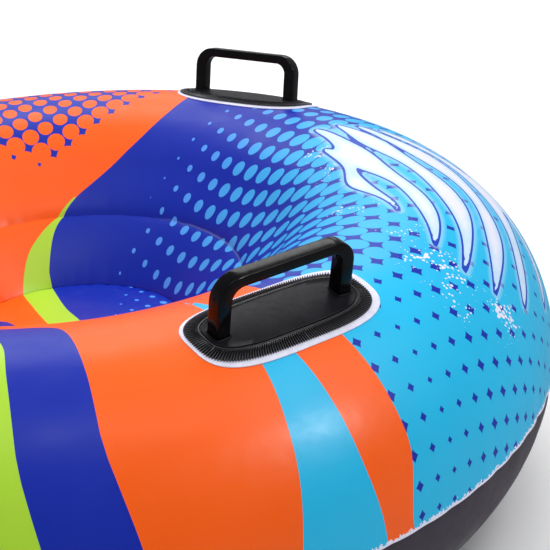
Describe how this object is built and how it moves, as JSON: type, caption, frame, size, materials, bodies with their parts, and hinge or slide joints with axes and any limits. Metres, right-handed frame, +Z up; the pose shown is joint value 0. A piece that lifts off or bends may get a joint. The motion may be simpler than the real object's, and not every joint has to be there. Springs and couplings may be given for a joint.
{
  "type": "towable tube",
  "caption": "Inflatable round ride-on tube with a bowl seat, moulded side handles, a front tow ring and screw-in valves, towed behind a boat.",
  "frame": {"origin": "on the ground under the middle of the ring", "axes": "+X towards the tow ring at the front, +Y to the rider's left, +Z up"},
  "size_m": [1.22, 1.22, 0.4486],
  "materials": {
    "printed_vinyl": "satin printed",
    "printed_vinyl_floor": "satin printed",
    "dark_vinyl": "matte",
    "inner_vinyl": "matte",
    "white_vinyl": "satin",
    "black_rubber": "satin, ribbed edge",
    "black_plastic": "gloss",
    "webbing": "woven",
    "steel": "polished",
    "clear_plastic": "satin",
    "silicone": "matte"
  },
  "bodies": {
    "tube": {"top_panel": "printed_vinyl", "bottom_panel": "dark_vinyl", "seat_wall_panel": "printed_vinyl", "seat_floor_panel": "printed_vinyl_floor", "seat_underside_panel": "dark_vinyl", "chamber_wall": "inner_vinyl", "outer_baffle": "inner_vinyl", "inner_baffle": "inner_vinyl", "left_handle_backing": "white_vinyl", "left_handle_flange": "black_rubber", "left_handle_insert": "black_rubber", "left_handle_grip": "black_plastic", "right_handle_backing": "white_vinyl", "right_handle_flange": "black_rubber", "right_handle_insert": "black_rubber", "right_handle_grip": "black_plastic", "tow_patch": "dark_vinyl", "tow_strap": "webbing", "ring_valve_base": "clear_plastic", "seat_valve_base": "clear_plastic"},
    "tow_ring": {"tow_ring": "steel"},
    "ring_valve_stopper": {"ring_valve_stopper": "clear_plastic"},
    "ring_valve_cap": {"ring_valve_cap": "clear_plastic"},
    "ring_valve_flap": {"ring_valve_flap": "silicone"},
    "seat_valve_stopper": {"seat_valve_stopper": "clear_plastic"},
    "seat_valve_cap": {"seat_valve_cap": "clear_plastic"},
    "seat_valve_flap": {"seat_valve_flap": "silicone"}
  },
  "joints": [
    {"name": "tow_ring_swing", "type": "hinge", "parent": "tube", "child": "tow_ring", "pos_m": [0.58471, 0, 0.07882], "axis": [0, 1, 0], "range_deg": [-130, 35]},
    {"name": "ring_valve_stopper_pull", "type": "slide", "parent": "tube", "child": "ring_valve_stopper", "axis": [-0.8192, 0, 0.5736], "range_m": [0, 0.015]},
    {"name": "ring_valve_cap_flip", "type": "hinge", "parent": "ring_valve_stopper", "child": "ring_valve_cap", "pos_m": [-0.56936, 0, 0.32243], "axis": [0, 1, 0], "range_deg": [0, 150]},
    {"name": "ring_valve_flap_swing", "type": "hinge", "parent": "ring_valve_stopper", "child": "ring_valve_flap", "pos_m": [-0.56023, 0, 0.30505], "axis": [0, -1, 0], "range_deg": [0, 40], "stiffness_Nm_per_rad": 0.002, "springref_deg": -8.59},
    {"name": "seat_valve_stopper_pull", "type": "slide", "parent": "tube", "child": "seat_valve_stopper", "axis": [0.7071, 0, 0.7071], "range_m": [0, 0.015]},
    {"name": "seat_valve_cap_flip", "type": "hinge", "parent": "seat_valve_stopper", "child": "seat_valve_cap", "pos_m": [-0.19309, 0, 0.25038], "axis": [0, -1, 0], "range_deg": [0, 150]},
    {"name": "seat_valve_flap_swing", "type": "hinge", "parent": "seat_valve_stopper", "child": "seat_valve_flap", "pos_m": [-0.19906, 0, 0.23167], "axis": [0, 1, 0], "range_deg": [0, 40], "stiffness_Nm_per_rad": 0.002, "springref_deg": -8.59}
  ]
}
